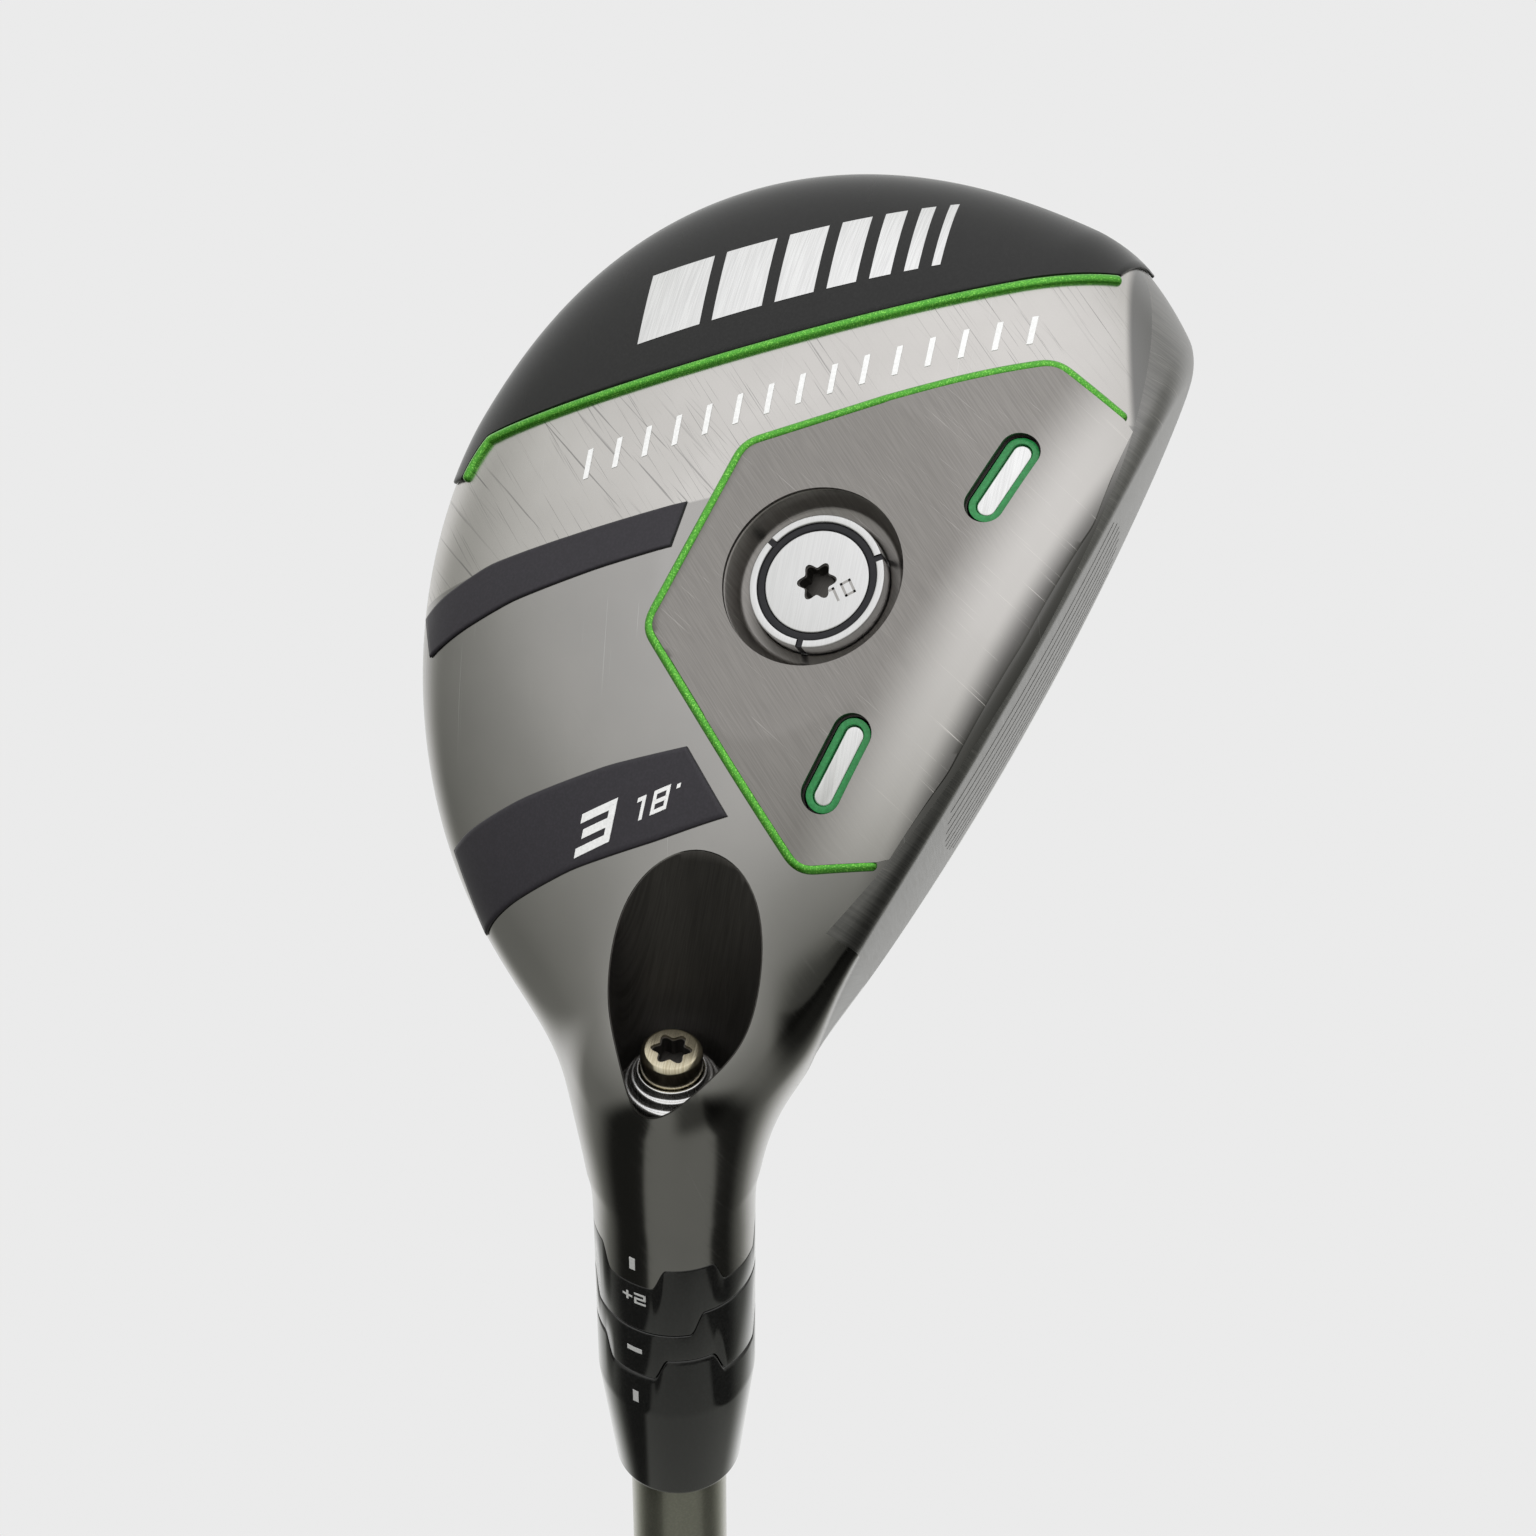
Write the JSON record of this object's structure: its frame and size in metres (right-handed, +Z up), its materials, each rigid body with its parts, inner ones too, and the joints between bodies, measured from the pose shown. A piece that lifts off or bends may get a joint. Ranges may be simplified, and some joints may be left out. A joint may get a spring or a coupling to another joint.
{
  "type": "hybrid golf club",
  "caption": "Hybrid golf club with a hollow steel head, adjustable hosel, removable sole weight, graphite shaft and rubber grip.",
  "frame": {"origin": "the flat spot of the sole that the club rests on, behind the sole weight", "axes": "+X from heel to toe, +Y from the back of the head to the target, +Z up with the club soled at address"},
  "size_m": [0.6392, 0.0644, 0.8647],
  "materials": {
    "smoked_steel": "polished smoked steel with fine scratches",
    "face_steel": "brushed forged steel",
    "crown_black": "gloss black paint",
    "pad_steel": "satin brushed dark steel",
    "inlay_black": "satin black inlay",
    "trim_green": "metallic green bead",
    "bright_steel": "turned bright steel",
    "inner_steel": "plain steel inside the head",
    "dense_metal": "sintered tungsten",
    "adapter_black": "gloss black anodising",
    "sleeve_metal": "machined aluminium",
    "screw_steel": "straw-tinted screw steel",
    "seal_rubber": "black rubber",
    "shaft_pewter": "pewter metallic lacquer over graphite",
    "tape_white": "paper tape",
    "grip_rubber": "moulded black rubber"
  },
  "bodies": {
    "head": {"body_casting": "smoked_steel", "face_cup": "face_steel", "crown": "crown_black", "sole_pad": "pad_steel", "rear_panel": "inlay_black", "rear_trim_line": "trim_green", "pad_trim_line": "trim_green", "toe_side_stripe": "inlay_black", "heel_side_stripe": "inlay_black", "strut_rims": "trim_green", "strut_caps": "bright_steel", "struts": "inner_steel", "weight_port": "inner_steel", "weight_collar": "bright_steel", "tungsten_mass": "dense_metal", "hosel_liner": "smoked_steel", "screw_washer": "bright_steel", "screw_retainer": "inner_steel"},
    "shaft_assembly": {"ferrule": "adapter_black", "adapter_sleeve": "sleeve_metal", "shaft": "shaft_pewter", "shaft_plug": "grip_rubber", "grip_tape": "tape_white", "grip": "grip_rubber", "grip_cap": "grip_rubber"},
    "lie_cog": {"lie_cog": "adapter_black"},
    "loft_cog": {"loft_cog": "adapter_black"},
    "hosel_screw": {"hosel_screw": "screw_steel"},
    "weight_seal": {"weight_seal": "seal_rubber"},
    "weight_screw": {"weight_screw": "bright_steel"}
  },
  "joints": [
    {"name": "shaft_release", "type": "slide", "parent": "head", "child": "shaft_assembly", "axis": [-0.5373, 0, 0.8434], "range_m": [0, 0.028]},
    {"name": "lie_cog_open", "type": "slide", "parent": "shaft_assembly", "child": "lie_cog", "axis": [0.5373, 0, -0.8434], "range_m": [0, 0.0032]},
    {"name": "loft_cog_open", "type": "slide", "parent": "shaft_assembly", "child": "loft_cog", "axis": [0.5373, 0, -0.8434], "range_m": [0, 0.0064]},
    {"name": "hosel_screw_turn", "type": "hinge", "parent": "head", "child": "hosel_screw", "pos_m": [-0.04299, 0.0185, 0.00869], "axis": [0.5373, 0, -0.8434], "continuous": true},
    {"name": "weight_travel", "type": "slide", "parent": "head", "child": "weight_seal", "axis": [0, 0, -1], "range_m": [0, 0.006]},
    {"name": "weight_turn", "type": "hinge", "parent": "weight_seal", "child": "weight_screw", "pos_m": [0, 0.011, 0.0014], "axis": [0, 0, -1], "range_deg": [0, 2160]}
  ],
  "couplings": [
    {"joint": "lie_cog_open", "follows": "shaft_release", "ratio": 0.11429},
    {"joint": "loft_cog_open", "follows": "shaft_release", "ratio": 0.22857},
    {"joint": "weight_travel", "follows": "weight_turn", "m_per_rad": 0.00015915}
  ]
}
